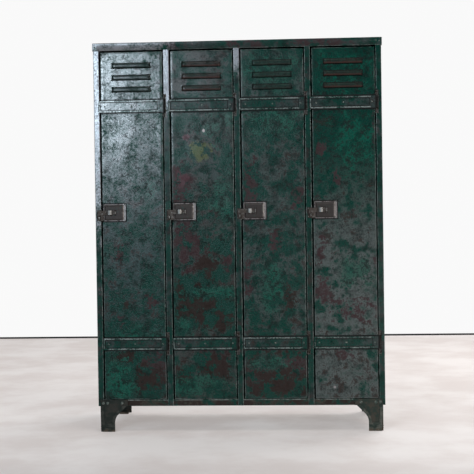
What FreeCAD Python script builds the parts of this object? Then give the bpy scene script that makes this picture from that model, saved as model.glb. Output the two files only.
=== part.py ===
# Steel locker with four tall strap-hinged doors, standing on four cast-iron bracket feet.
# Millimetres, +Z up, doors facing -Y. The origin is the middle of the footprint, on the floor.
import FreeCAD, Part
import math
import os

os.makedirs("parts", exist_ok=True)
Vector = FreeCAD.Vector

# Carcass
BAYS = 4
PITCH = 325.0                # from the middle of one door bay to the middle of the next
POST_WIDTH = 27.0            # face of a post between two bays, and of the stile at each end
POST_DEPTH = 30.0
BODY_DEPTH = 500.0
TOTAL_HEIGHT = 1800.0
FOOT_HEIGHT = 118.0
SHEET = 1.2
BEND_RADIUS = 3.0
SILL_HEIGHT = 29.0           # front rail under the doors
SILL_SETBACK = 0.8
LIP_HEIGHT = 36.0            # rim of the top, seen above the doors
LIP_OVERHANG = 3.0
SHELF_HEIGHT = 1480.0
COAT_RAIL_HEIGHT = 1425.0

# Doors
LEFT_GAP = 7.0
RIGHT_GAP = 5.0
DOOR_BOTTOM = 150.0
DOOR_TOP = 1757.0
DOOR_DEPTH = 17.0
DOOR_PROUD = 0.5             # the door's face stands this far in front of the posts
UPPER_STRAP = 1506.0
LOWER_STRAP = 406.0
LATCH_HEIGHT = 1016.0

# Strap hinges
STRAP_HEIGHT = 57.0
STRAP_SHEET = 2.0
BEAD_HEIGHT = 2.5
BEAD_WIDTH = 7.0
KNUCKLE_RADIUS = 5.3
KNUCKLE_HALF_LENGTH = 31.0
PIN_RADIUS = 2.5
RUNNING_GAP = 0.05           # radial clearance of a knuckle on its pin
NOTCH_HALF_HEIGHT = 54.0     # slot in the post that lets the strap swing
NOTCH_WIDTH = 12.5
NOTCH_DEPTH = 12.0
PIN_DEPTH = 4.0              # pin centre behind the face of the posts
PIN_OFFSET = 5.5             # pin centre beyond the door's right edge

# Hasp and padlock eye
PLATE_RISE = 5.0
HASP_SHEET = 2.5
HASP_HEIGHT = 20.0
HASP_PIN_RADIUS = 1.8
BOW_HALF_CHORD = 15.0
BOW_RISE = 12.0
EYE_RADIUS = 3.5
RIVET_RIM_SHARE = 0.35      # of the height of a head
RIVET_CROWN_SHARE = 0.55    # of the radius of a head
STAPLE_REACH = 20.0

# Worked out from the above
FRONT_REACH = PLATE_RISE + DOOR_PROUD + 0.5 + HASP_SHEET + BOW_RISE
FRONT = -(BODY_DEPTH - FRONT_REACH) / 2
HALF_WIDTH = PITCH * BAYS / 2 + POST_WIDTH / 2 - 0.5
BODY_TOP = TOTAL_HEIGHT - SHEET
HALF_OPENING = (PITCH - POST_WIDTH) / 2
DOOR_LEFT = -HALF_OPENING + LEFT_GAP
DOOR_RIGHT = HALF_OPENING - RIGHT_GAP
PIN_X = DOOR_RIGHT + PIN_OFFSET
FLOOR_TOP = FOOT_HEIGHT + SHEET
bay_centres = [PITCH * (n - (BAYS - 1) / 2) for n in range(BAYS)]
post_centres = [PITCH * (n - (BAYS - 2) / 2) for n in range(BAYS - 1)]


def block(x0, x1, d0, d1, z0, z1):
    """A box; d is depth behind the face of the posts."""
    return Part.makeBox(x1 - x0, d1 - d0, z1 - z0, Vector(x0, FRONT + d0, z0))


def upright(radius, x, depth, z0, z1):
    """A cylinder standing along Z."""
    return Part.makeCylinder(radius, z1 - z0, Vector(x, FRONT + depth, z0))


def crossways(radius, x0, x1, depth, z):
    """A cylinder lying along X."""
    return Part.makeCylinder(radius, x1 - x0, Vector(x0, FRONT + depth, z), Vector(1, 0, 0))


def join(shapes):
    result = shapes[0].fuse(shapes[1:]) if len(shapes) > 1 else shapes[0]
    return result.removeSplitter()


def round_off(shape, radius, wanted):
    """Rounds every straight edge whose middle point and direction the test accepts."""
    edges = []
    for edge in shape.Edges:
        middle = edge.CenterOfMass
        along = edge.tangentAt(edge.FirstParameter)
        if wanted(middle, along):
            edges.append(edge)
    return shape.makeFillet(radius, edges)


def at_depth(point, depth):
    return abs(point.y - FRONT - depth) < 0.01


def save(name, shapes):
    solids = [solid for shape in shapes for solid in shape.Solids]
    shape = solids[0] if len(solids) == 1 else Part.makeCompound(solids)
    shape.exportStep("parts/" + name + ".step")


def rivet_head(x, depth, z, radius, height):
    """A low hammered head: a thin rim, then a cone up to a flat crown. Its back lies at the given depth."""
    rim = height * RIVET_RIM_SHARE
    forwards = Vector(0, -1, 0)
    disc = Part.makeCylinder(radius, rim, Vector(x, FRONT + depth, z), forwards)
    cone = Part.makeCone(radius, radius * RIVET_CROWN_SHARE, height - rim, Vector(x, FRONT + depth - rim, z), forwards)
    return disc.fuse(cone).removeSplitter()


# ---- Posts and stiles: U channels, bent at the face, with a slot at each hinge ----

def channel(x0, x1):
    outer = block(x0, x1, 0, POST_DEPTH, FLOOR_TOP, BODY_TOP)
    outer = round_off(outer, BEND_RADIUS, lambda p, t: at_depth(p, 0) and abs(t.z) > 0.9)
    inner = block(x0 + SHEET, x1 - SHEET, SHEET, POST_DEPTH + 1, FLOOR_TOP - 1, BODY_TOP + 1)
    inner = round_off(inner, BEND_RADIUS - SHEET, lambda p, t: at_depth(p, SHEET) and abs(t.z) > 0.9)
    return outer.cut(inner)


def hinge_slots(x_left):
    """What is cut from a post's left corner, so that a strap can swing round its pin."""
    return [
        block(x_left - 1, x_left + NOTCH_WIDTH, -1, NOTCH_DEPTH,
              z - NOTCH_HALF_HEIGHT, z + NOTCH_HALF_HEIGHT)
        for z in (UPPER_STRAP, LOWER_STRAP)
    ]


save("stile_left", [channel(-HALF_WIDTH, bay_centres[0] - HALF_OPENING)])
for number, x in enumerate(post_centres, 1):
    left = x - POST_WIDTH / 2
    post = channel(left, x + POST_WIDTH / 2).cut(Part.makeCompound(hinge_slots(left)))
    save("post_%d" % number, [post])
left = bay_centres[-1] + HALF_OPENING
save("stile_right", [channel(left, HALF_WIDTH).cut(Part.makeCompound(hinge_slots(left)))])

# ---- Flat sheets: sides, partitions, back, bottom and top ----

inside = HALF_WIDTH - SHEET
side_front = POST_DEPTH
sheet_back = BODY_DEPTH - SHEET
save("side_panel_left", [block(-HALF_WIDTH, -inside, side_front, BODY_DEPTH, FLOOR_TOP, BODY_TOP)])
save("side_panel_right", [block(inside, HALF_WIDTH, side_front, BODY_DEPTH, FLOOR_TOP, BODY_TOP)])
for number, x in enumerate(post_centres, 1):
    sheet = block(x - SHEET / 2, x + SHEET / 2, SHEET, sheet_back, FLOOR_TOP, BODY_TOP)
    save("partition_%d" % number, [sheet])
save("back_panel", [block(-inside, inside, sheet_back, BODY_DEPTH, FLOOR_TOP, BODY_TOP)])
save("bottom_panel", [block(-HALF_WIDTH, HALF_WIDTH, 0, BODY_DEPTH, FOOT_HEIGHT, FLOOR_TOP)])

lip_width = HALF_WIDTH + LIP_OVERHANG
save("top_panel", [block(-lip_width, lip_width, -LIP_OVERHANG, BODY_DEPTH, BODY_TOP, TOTAL_HEIGHT)])


# ---- Rim of the top: a lip on the front and on both sides, each turned in below ----

def top_lips():
    z = TOTAL_HEIGHT - LIP_HEIGHT
    outer = -LIP_OVERHANG
    front_lip = block(-lip_width, lip_width, outer, outer + SHEET, z, BODY_TOP)
    front_turn = block(-lip_width, lip_width, outer, 0, z, z + SHEET)
    lips = [join([front_lip, front_turn])]
    for side in (-1, 1):
        x_out = side * lip_width
        x_in = side * (lip_width - SHEET)
        x_body = side * HALF_WIDTH
        lip = block(min(x_out, x_in), max(x_out, x_in), 0, BODY_DEPTH, z, BODY_TOP)
        turn = block(min(x_out, x_body), max(x_out, x_body), 0, BODY_DEPTH, z, z + SHEET)
        lips.append(join([lip, turn]))
    return lips


save("top_rim", top_lips())

# Small plates riveted over the front corners of the rim.
TAB_WIDTH = 21.0
TAB_SHEET = 1.5
tab_inner = lip_width - 1 - TAB_WIDTH
tab_bottom = TOTAL_HEIGHT - LIP_HEIGHT + 1
tab = block(-TAB_WIDTH / 2, TAB_WIDTH / 2, -LIP_OVERHANG - TAB_SHEET, -LIP_OVERHANG,
            tab_bottom, TOTAL_HEIGHT - 2)
tab = round_off(tab, 0.8, lambda p, t: at_depth(p, -LIP_OVERHANG - TAB_SHEET))
tab_centres = [side * (tab_inner + TAB_WIDTH / 2) for side in (-1, 1)]
save("corner_tabs", [tab.translated(Vector(x, 0, 0)) for x in tab_centres])


# ---- Sill: an angle between the posts under each door ----

def sill(centre):
    x0 = centre - HALF_OPENING
    x1 = centre + HALF_OPENING
    top = FOOT_HEIGHT + SILL_HEIGHT
    face = block(x0, x1, SILL_SETBACK, SILL_SETBACK + SHEET, FLOOR_TOP, top)
    ledge = block(x0, x1, SILL_SETBACK, SILL_SETBACK + 15, top - SHEET, top)
    angle = join([face, ledge])
    return round_off(angle, SHEET - 0.1, lambda p, t: at_depth(p, SILL_SETBACK) and p.z > top - 0.1)


save("sill_rails", [sill(centre) for centre in bay_centres])

# ---- Hat shelf: a tray turned upside down, under the upper straps ----

SHELF_LIP = 20.0
SHELF_GAP = 0.2              # the shelf slides in between the partitions
shelves = []
for number, centre in enumerate(bay_centres):
    x0 = -inside if number == 0 else centre - PITCH / 2 + SHEET / 2
    x1 = inside if number == BAYS - 1 else centre + PITCH / 2 - SHEET / 2
    x0 += SHELF_GAP
    x1 -= SHELF_GAP
    d0 = POST_DEPTH + 2
    d1 = sheet_back - SHELF_GAP
    tray = block(x0, x1, d0, d1, SHELF_HEIGHT - SHELF_LIP, SHELF_HEIGHT)
    tray = round_off(tray, 2.0, lambda p, t: at_depth(p, d0) and p.z > SHELF_HEIGHT - 0.1)
    hollow = block(x0 + SHEET, x1 - SHEET, d0 + SHEET, d1 - SHEET,
                   SHELF_HEIGHT - SHELF_LIP - 1, SHELF_HEIGHT - SHEET)
    shelves.append(tray.cut(hollow))
save("shelves", shelves)

# ---- Coat rail: a steel tube across each bay, held in a flanged cup at each end ----

RAIL_RADIUS = 8.0
CUP_RADIUS = 15.0
RAIL_DEPTH = 250.0
rails = []
cups = []
for number, centre in enumerate(bay_centres):
    x0 = -inside if number == 0 else centre - PITCH / 2 + SHEET / 2
    x1 = inside if number == BAYS - 1 else centre + PITCH / 2 - SHEET / 2
    tube = crossways(RAIL_RADIUS, x0 + 2, x1 - 2, RAIL_DEPTH, COAT_RAIL_HEIGHT)
    bore = crossways(RAIL_RADIUS - SHEET, x0, x1, RAIL_DEPTH, COAT_RAIL_HEIGHT)
    rails.append(tube.cut(bore))
    for x_wall, inward in ((x0, 1), (x1, -1)):
        flange_x = (x_wall, x_wall + 2 * inward)
        cup_x = (x_wall, x_wall + 10 * inward)
        flange = crossways(CUP_RADIUS, min(flange_x), max(flange_x), RAIL_DEPTH, COAT_RAIL_HEIGHT)
        collar = crossways(RAIL_RADIUS + 2, min(cup_x), max(cup_x), RAIL_DEPTH, COAT_RAIL_HEIGHT)
        seat = crossways(RAIL_RADIUS, min(cup_x) + 2 * (inward > 0), max(cup_x) - 2 * (inward < 0),
                         RAIL_DEPTH, COAT_RAIL_HEIGHT)
        cups.append(join([flange, collar]).cut(seat))
save("coat_rails", rails)
save("rail_cups", cups)

# ---- Feet: cast brackets with a lapped top, a sunk panel and two ridges at the base ----

FOOT_INSET_TOP = 11.0
FOOT_INSET_BASE = 19.0
FOOT_BASE_WIDTH = 58.0
FOOT_WING = 127.0            # reach of the bracket along the front, from its outer edge
CURVE_START = 40.0           # height where the inner edge starts to curve out
CURVE_RADIUS = 58.0
LEG_THICK = 9.0
LAP_THICK = 5.0
PANEL_SINK = 3.0
RIM = 13.0


def bracket_outline(inset):
    """Face of the bracket below the body, outer edge first; inset makes the sunk panel's edge."""
    lean = FOOT_INSET_BASE - FOOT_INSET_TOP
    inner = lean + FOOT_BASE_WIDTH - inset
    radius = CURVE_RADIUS + inset
    bottom = CURVE_START - 2 if inset else 0.0
    slope_s = inner + radius * (1 - math.sqrt(0.5))
    slope_z = CURVE_START + radius * math.sqrt(0.5)
    top = FOOT_HEIGHT
    reach = slope_s + top - slope_z
    foot_of_lean = lean * (1 - bottom / FOOT_HEIGHT) + inset
    middle = math.radians(22.5)
    arc = Part.Arc(
        Vector(inner, 0, CURVE_START),
        Vector(inner + radius * (1 - math.cos(middle)), 0, CURVE_START + radius * math.sin(middle)),
        Vector(slope_s, 0, slope_z),
    ).toShape()
    corners = [Vector(slope_s, 0, slope_z), Vector(reach, 0, top), Vector(inset, 0, top),
               Vector(foot_of_lean, 0, bottom), Vector(inner, 0, bottom), Vector(inner, 0, CURVE_START)]
    return Part.Face(Part.Wire([arc] + Part.makePolygon(corners).Edges))


def bracket_wing():
    """One wing, its outer edge at s = 0 and its face at y = 0, with its thickness towards +y."""
    wing = bracket_outline(0).extrude(Vector(0, LEG_THICK, 0))
    sunk = bracket_outline(RIM).extrude(Vector(0, PANEL_SINK, 0))
    wing = wing.cut(sunk)
    for z in (13.0, 23.0):
        left = (FOOT_INSET_BASE - FOOT_INSET_TOP) * (1 - z / FOOT_HEIGHT)
        ridge = Part.makeCylinder(3.5, FOOT_BASE_WIDTH - left + 8, Vector(left, 2.2, z), Vector(1, 0, 0))
        wing = wing.fuse(ridge)
    return wing.removeSplitter()


def foot(lapped):
    """A foot for the front left corner. Its outer corner is at x = 0, y = 0."""
    face = bracket_wing()
    side = bracket_wing()
    side.rotate(Vector(0, 0, 0), Vector(0, 0, 1), 90)
    side = side.mirror(Vector(0, 0, 0), Vector(1, 0, 0))
    web = Part.makePolygon([Vector(0, 0, 0), Vector(100, 0, 0), Vector(0, 100, 0), Vector(0, 0, 0)])
    web = Part.Face(web).extrude(Vector(0, 0, 8))
    web.translate(Vector(3, 3, FOOT_HEIGHT - 8))
    pad = Part.makeBox(FOOT_BASE_WIDTH - 14, FOOT_BASE_WIDTH - 14, 10, Vector(LEG_THICK + 3, LEG_THICK, 0))
    pieces = [face, side, web, pad]
    if lapped:
        lap = Part.makeBox(FOOT_WING, LAP_THICK, SILL_HEIGHT, Vector(0, LEG_THICK - LAP_THICK, FOOT_HEIGHT))
        pieces.append(lap)
    return join(pieces)


def place_foot(shape, x_sign, outer_depth, y_sign):
    """Turns the front left foot into the foot of another corner."""
    placed = shape.copy()
    if x_sign > 0:
        placed = placed.mirror(Vector(0, 0, 0), Vector(1, 0, 0))
    if y_sign > 0:
        placed = placed.mirror(Vector(0, 0, 0), Vector(0, 1, 0))
    placed.translate(Vector(x_sign * (HALF_WIDTH - FOOT_INSET_TOP), FRONT + outer_depth, 0))
    return placed


front_foot = foot(True)
rear_foot = foot(False)
save("front_foot_left", [place_foot(front_foot, -1, -LEG_THICK, -1)])
save("front_foot_right", [place_foot(front_foot, 1, -LEG_THICK, -1)])
rear_setback = BODY_DEPTH - 2
save("rear_foot_left", [place_foot(rear_foot, -1, rear_setback, 1)])
save("rear_foot_right", [place_foot(rear_foot, 1, rear_setback, 1)])


# ---- Hinge pins, each held in a bracket behind its slot ----

EAR = 3.0
EAR_RADIUS = 4.8


def hinge_bracket(bay_centre, z):
    """A web between the post's leg and the partition, with an ear at each end for the pin."""
    pin_x = bay_centre + PIN_X
    x0 = bay_centre + HALF_OPENING + SHEET
    x1 = bay_centre + (PITCH - SHEET) / 2
    top = NOTCH_HALF_HEIGHT - 1
    web = block(x0, x1, NOTCH_DEPTH - 1.5, NOTCH_DEPTH + 0.5, z - top, z + top)
    ears = []
    for z0 in (z - top, z + top - EAR):
        ears.append(block(x0, x1, SHEET + 0.1, NOTCH_DEPTH, z0, z0 + EAR))
        ears.append(upright(EAR_RADIUS, pin_x, PIN_DEPTH, z0, z0 + EAR))
    hole = upright(PIN_RADIUS, pin_x, PIN_DEPTH, z - top - 1, z + top + 1)
    return join([web] + ears).cut(hole)


pins = []
brackets = []
for centre in bay_centres:
    for z in (UPPER_STRAP, LOWER_STRAP):
        half = NOTCH_HALF_HEIGHT - 0.6
        pins.append(upright(PIN_RADIUS, centre + PIN_X, PIN_DEPTH, z - half, z + half))
        brackets.append(hinge_bracket(centre, z))
save("hinge_pins", pins)
save("hinge_brackets", brackets)

# ---- Door: a tray of sheet with turned edges and three pressed louvres ----

LOUVRES = 3
LOUVRE_PITCH = 55.0
LOUVRE_TOP = 1706.0
LOUVRE_HALF_WIDTH = 89.5
LOUVRE_HEIGHT = 23.0
LOUVRE_RISE = 7.0
LOUVRE_TAPER = 10.0


def frustum(x0, x1, z0, z1, d_base, d_top, left, right, bottom, top):
    """A block from a base rectangle at depth d_base to a smaller one at depth d_top."""
    def ring(depth, a, b, c, e):
        corners = [(x0 + a, z0 + c), (x1 - b, z0 + c), (x1 - b, z1 - e), (x0 + a, z1 - e)]
        points = [Vector(x, FRONT + depth, z) for x, z in corners]
        return Part.makePolygon(points + points[:1])
    return Part.makeLoft([ring(d_base, 0, 0, 0, 0), ring(d_top, left, right, bottom, top)], True, True)


def louvre_tools():
    """The hood to add and the hollow to cut for one louvre whose foot is at z = 0."""
    face = -DOOR_PROUD
    hood = frustum(-LOUVRE_HALF_WIDTH, LOUVRE_HALF_WIDTH, 0, LOUVRE_HEIGHT, face, face - LOUVRE_RISE,
                   LOUVRE_TAPER, LOUVRE_TAPER, 0, LOUVRE_HEIGHT - 7)
    hood = round_off(hood, 3.0, lambda p, t: p.z > 0.1 and not at_depth(p, face))
    half = LOUVRE_HALF_WIDTH - 1.6
    hollow = frustum(-half, half, -1, LOUVRE_HEIGHT - 1.6, face, face - LOUVRE_RISE + SHEET,
                     LOUVRE_TAPER, LOUVRE_TAPER, 0, LOUVRE_HEIGHT - 7)
    slot = block(-half + 1, half - 1, face - 0.1, face + SHEET + 1, 2, LOUVRE_HEIGHT - 4)
    return hood, hollow.fuse(slot)


def door_at_zero():
    """A door whose bay centre is at x = 0."""
    face = -DOOR_PROUD
    back = face + DOOR_DEPTH
    outer = block(DOOR_LEFT, DOOR_RIGHT, face, back, DOOR_BOTTOM, DOOR_TOP)
    outer = round_off(outer, 2.5, lambda p, t: at_depth(p, face) or abs(t.y) > 0.9)
    inner = block(DOOR_LEFT + SHEET, DOOR_RIGHT - SHEET, face + SHEET, back + 1,
                  DOOR_BOTTOM + SHEET, DOOR_TOP - SHEET)
    inner = round_off(inner, 1.3, lambda p, t: at_depth(p, face + SHEET) or abs(t.y) > 0.9)
    pan = outer.cut(inner)
    returns = [
        block(DOOR_LEFT + 0.6, DOOR_LEFT + 12, back - SHEET, back, DOOR_BOTTOM + 20, DOOR_TOP - 20),
        block(DOOR_RIGHT - 12, DOOR_RIGHT - 0.6, back - SHEET, back, DOOR_BOTTOM + 20, DOOR_TOP - 20),
    ]
    hood, hollow = louvre_tools()
    hoods = []
    hollows = []
    for number in range(LOUVRES):
        foot_of_louvre = Vector(0, 0, LOUVRE_TOP - LOUVRE_HEIGHT - LOUVRE_PITCH * number)
        hoods.append(hood.translated(foot_of_louvre))
        hollows.append(hollow.translated(foot_of_louvre))
    return join([pan] + returns + hoods).cut(Part.makeCompound(hollows))


# ---- Strap: a pressed band with a raised bead, rolled round the hinge pin at its right end ----

FLARE = 6.0                  # how much each edge of the strap spreads at the hinge
BEAD_INSET = 1.5
BEAD_END = 24.0              # the bead stops this far short of the strap's end


def strap_at_zero(overhang, corner):
    """A strap at z = 0 on the door at x = 0. Its left end passes the door's edge by overhang."""
    base = -DOOR_PROUD
    x0 = DOOR_LEFT - overhang
    x1 = PIN_X
    half = STRAP_HEIGHT / 2
    outline = [(x0, -half), (x1 - 18, -half), (x1 - 8, -half - FLARE), (x1, -half - FLARE),
               (x1, half + FLARE), (x1 - 8, half + FLARE), (x1 - 18, half), (x0, half)]
    points = [Vector(x, FRONT + base - STRAP_SHEET, z) for x, z in outline]
    band = Part.Face(Part.makePolygon(points + points[:1])).extrude(Vector(0, STRAP_SHEET, 0))
    band = round_off(band, corner, lambda p, t: abs(t.y) > 0.9 and p.x < x0 + 0.1)
    band = round_off(band, 0.9, lambda p, t: at_depth(p, base - STRAP_SHEET))

    b0 = x0 + BEAD_INSET
    b1 = x1 - BEAD_END
    rim = half - BEAD_INSET
    crest = base - STRAP_SHEET - BEAD_HEIGHT
    bead = block(b0, b1, crest, base - STRAP_SHEET, -rim, rim)
    bead = round_off(bead, corner - BEAD_INSET + 0.5, lambda p, t: abs(t.y) > 0.9 and p.x < b0 + 0.1)
    bead = bead.cut(block(b0 + BEAD_WIDTH, b1 + 1, crest - 1, base, BEAD_WIDTH - rim, rim - BEAD_WIDTH))
    bead = round_off(bead, 1.6, lambda p, t: at_depth(p, crest))

    knuckle = upright(KNUCKLE_RADIUS, PIN_X, PIN_DEPTH, -KNUCKLE_HALF_LENGTH, KNUCKLE_HALF_LENGTH)
    neck = block(PIN_X - 4.4, PIN_X, base - 0.5, PIN_DEPTH, -KNUCKLE_HALF_LENGTH, KNUCKLE_HALF_LENGTH)
    hole = upright(PIN_RADIUS + RUNNING_GAP, PIN_X, PIN_DEPTH, -half - FLARE - 1, half + FLARE + 1)
    return join([band, bead, knuckle, neck]).cut(hole)


# ---- Latch plate: a pressed plate with a sunk rim and two ears for the hasp's pin ----

PLATE_LEFT = DOOR_LEFT + 4
PLATE_RIGHT = PLATE_LEFT + 104
PLATE_HALF_HEIGHT = 39.5
PLATE_SHEET = 1.5
HASP_PIN_X = PLATE_LEFT + 56
HASP_BACK = -DOOR_PROUD - PLATE_RISE - 0.5
HASP_PIN_DEPTH = HASP_BACK - 3.5
HASP_KNUCKLE = 3.7
EAR_INNER = 7.0
EAR_OUTER = 13.0


def latch_plate_at_zero():
    base = -DOOR_PROUD
    z0 = LATCH_HEIGHT - PLATE_HALF_HEIGHT
    z1 = LATCH_HEIGHT + PLATE_HALF_HEIGHT
    flange = block(PLATE_LEFT, PLATE_RIGHT, base - PLATE_SHEET, base, z0, z1)
    flange = round_off(flange, 3.0, lambda p, t: abs(t.y) > 0.9)
    boss = frustum(PLATE_LEFT + 5, PLATE_RIGHT - 4, z0 + 5, z1 - 5, base, base - PLATE_RISE, 6, 14, 6, 6)
    cavity = frustum(PLATE_LEFT + 7, PLATE_RIGHT - 6, z0 + 7, z1 - 7, base, base - PLATE_RISE + PLATE_SHEET,
                     6, 14, 6, 6)
    plate = join([flange, boss]).cut(cavity)
    for z in (LATCH_HEIGHT - EAR_OUTER, LATCH_HEIGHT + EAR_INNER):
        top = z + EAR_OUTER - EAR_INNER
        stem = block(HASP_PIN_X - HASP_KNUCKLE, HASP_PIN_X + HASP_KNUCKLE,
                     HASP_PIN_DEPTH, base - PLATE_RISE + 0.5, z, top)
        plate = plate.fuse([stem, upright(HASP_KNUCKLE, HASP_PIN_X, HASP_PIN_DEPTH, z, top)])
    hole = upright(HASP_PIN_RADIUS, HASP_PIN_X, HASP_PIN_DEPTH, LATCH_HEIGHT - 20, LATCH_HEIGHT + 20)
    return plate.removeSplitter().cut(hole)


# ---- Hasp: a strip with a bowed finger grip, and a slotted end that drops over the staple ----

HASP_TIP = DOOR_LEFT - 19.5
HASP_END_RIGHT = DOOR_LEFT + 5
HASP_END_TOP = LATCH_HEIGHT + 9
HASP_END_BOTTOM = LATCH_HEIGHT - 38
SLOT_LEFT = HASP_TIP + 3
SLOT_RIGHT = SLOT_LEFT + 9
STAPLE_LEFT = SLOT_LEFT + 2
STAPLE_RIGHT = STAPLE_LEFT + 5
STAPLE_BOTTOM = LATCH_HEIGHT - 33
STAPLE_TOP = LATCH_HEIGHT - 16
BOW_CENTRE = HASP_PIN_X - 26


def bow_ring(radius_change):
    """The bow's circle through the ends of its chord, made smaller or larger."""
    radius = (BOW_HALF_CHORD ** 2 + BOW_RISE ** 2) / (2 * BOW_RISE)
    centre_depth = HASP_BACK - HASP_SHEET - BOW_RISE + radius
    return upright(radius + radius_change, BOW_CENTRE, centre_depth,
                   LATCH_HEIGHT - HASP_HEIGHT, LATCH_HEIGHT + HASP_HEIGHT)


def hasp_at_zero():
    z0 = LATCH_HEIGHT - HASP_HEIGHT / 2
    z1 = LATCH_HEIGHT + HASP_HEIGHT / 2
    face = HASP_BACK - HASP_SHEET
    strip = block(HASP_END_RIGHT - 1, HASP_PIN_X, face, HASP_BACK, z0, z1)
    arch = bow_ring(0).common(block(BOW_CENTRE - 20, BOW_CENTRE + 20, face - 20, HASP_BACK, z0, z1))
    bowed = strip.fuse(arch).cut(bow_ring(-HASP_SHEET))
    end = block(HASP_TIP, HASP_END_RIGHT, face, HASP_BACK, HASP_END_BOTTOM, HASP_END_TOP)
    end = round_off(end, 5.0, lambda p, t: abs(t.y) > 0.9)
    slot = block(SLOT_LEFT, SLOT_RIGHT, face - 1, HASP_BACK + 1, STAPLE_BOTTOM - 3, STAPLE_TOP + 3)
    slot = round_off(slot, 2.0, lambda p, t: abs(t.y) > 0.9)
    knuckle = upright(HASP_KNUCKLE, HASP_PIN_X, HASP_PIN_DEPTH, LATCH_HEIGHT - EAR_INNER + 0.4,
                      LATCH_HEIGHT + EAR_INNER - 0.4)
    clearance = [
        block(HASP_PIN_X - 6, HASP_PIN_X + 6, face - 1, HASP_BACK + 1, z, z + 20)
        for z in (LATCH_HEIGHT + EAR_INNER - 0.4, LATCH_HEIGHT - EAR_INNER + 0.4 - 20)
    ]
    hole = upright(HASP_PIN_RADIUS + RUNNING_GAP, HASP_PIN_X, HASP_PIN_DEPTH,
                   LATCH_HEIGHT - 20, LATCH_HEIGHT + 20)
    body = join([bowed, end, knuckle])
    return body.cut([slot, hole] + clearance)


# ---- Keeper: a plate on the post with a staple that takes a padlock ----

KEEPER_SHEET = 1.5


def keeper_at_zero():
    base = block(-HALF_OPENING - 20, -HALF_OPENING - 0.5, -KEEPER_SHEET, 0, LATCH_HEIGHT - 37, LATCH_HEIGHT + 12)
    base = round_off(base, 2.0, lambda p, t: abs(t.y) > 0.9)
    staple = block(STAPLE_LEFT, STAPLE_RIGHT, -STAPLE_REACH, -KEEPER_SHEET / 2, STAPLE_BOTTOM, STAPLE_TOP)
    staple = round_off(staple, 6.0, lambda p, t: at_depth(p, -STAPLE_REACH) and abs(t.x) > 0.9)
    eye = crossways(EYE_RADIUS, STAPLE_LEFT - 1, STAPLE_RIGHT + 1, -STAPLE_REACH + EYE_RADIUS + 2.5,
                    (STAPLE_BOTTOM + STAPLE_TOP) / 2)
    return join([base, staple]).cut(eye)


# ---- Rivets ----

STRAP_RIVET = (4.2, 1.8)     # radius and height of the head
PLATE_RIVET = (2.6, 1.2)
BODY_RIVET = (4.5, 2.0)


def door_rivets(upper_z, lower_z):
    heads = []
    base = -DOOR_PROUD - STRAP_SHEET
    for z in (upper_z, lower_z):
        for x in (DOOR_LEFT + 19, (DOOR_LEFT + DOOR_RIGHT) / 2, DOOR_RIGHT - 14):
            heads.append(rivet_head(x, base, z, *STRAP_RIVET))
    for x in (PLATE_LEFT + 3.2, PLATE_RIGHT - 3.2):
        for z in (LATCH_HEIGHT - PLATE_HALF_HEIGHT + 3.2, LATCH_HEIGHT + PLATE_HALF_HEIGHT - 3.2):
            heads.append(rivet_head(x, -DOOR_PROUD - PLATE_SHEET, z, *PLATE_RIVET))
    return heads


# ---- One set of door pieces for each bay ----

door = door_at_zero()
upper_strap = strap_at_zero(13, 12)
lower_strap = strap_at_zero(5, 3)
latch_plate = latch_plate_at_zero()
hasp = hasp_at_zero()
hasp_pin = upright(HASP_PIN_RADIUS, HASP_PIN_X, HASP_PIN_DEPTH,
                   LATCH_HEIGHT - EAR_OUTER - 0.5, LATCH_HEIGHT + EAR_OUTER + 0.5)
keeper = keeper_at_zero()
rivets = door_rivets(UPPER_STRAP, LOWER_STRAP)
for number, centre in enumerate(bay_centres, 1):
    shift = Vector(centre, 0, 0)
    save("door_%d" % number, [door.translated(shift)])
    save("upper_strap_%d" % number, [upper_strap.translated(shift + Vector(0, 0, UPPER_STRAP))])
    save("lower_strap_%d" % number, [lower_strap.translated(shift + Vector(0, 0, LOWER_STRAP))])
    save("latch_plate_%d" % number, [latch_plate.translated(shift)])
    save("hasp_%d" % number, [hasp.translated(shift)])
    save("hasp_pin_%d" % number, [hasp_pin.translated(shift)])
    save("keeper_%d" % number, [keeper.translated(shift)])
    save("door_rivets_%d" % number, [rivet.translated(shift) for rivet in rivets])

# ---- Rivets of the carcass, and bolts of the feet ----

body_rivets = [rivet_head(x, -LIP_OVERHANG - TAB_SHEET, TOTAL_HEIGHT - LIP_HEIGHT / 2, *BODY_RIVET)
               for x in tab_centres]
for centre in bay_centres:
    for z in (LATCH_HEIGHT - 30, LATCH_HEIGHT + 6):
        body_rivets.append(rivet_head(centre - HALF_OPENING - 16.2, -KEEPER_SHEET, z, *PLATE_RIVET))
save("body_rivets", body_rivets)

BOLT_ACROSS = 13.0           # hexagon head, across the corners
BOLT_HEAD = 4.5
foot_bolts = []
for side in (-1, 1):
    for inset in (24.0, 44.0, 112.0):
        hexagon = Part.makePolygon([
            Vector(BOLT_ACROSS / 2 * math.cos(math.radians(angle)), 0,
                   BOLT_ACROSS / 2 * math.sin(math.radians(angle)))
            for angle in range(0, 361, 60)
        ])
        head = Part.Face(hexagon).extrude(Vector(0, -BOLT_HEAD, 0))
        z = FOOT_HEIGHT + SILL_HEIGHT / 2
        head.translate(Vector(side * (HALF_WIDTH - inset), FRONT - LAP_THICK, z))
        foot_bolts.append(head)
save("foot_bolts", foot_bolts)
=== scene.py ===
import math

import bmesh
import bpy
from mathutils import Matrix, Vector


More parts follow.
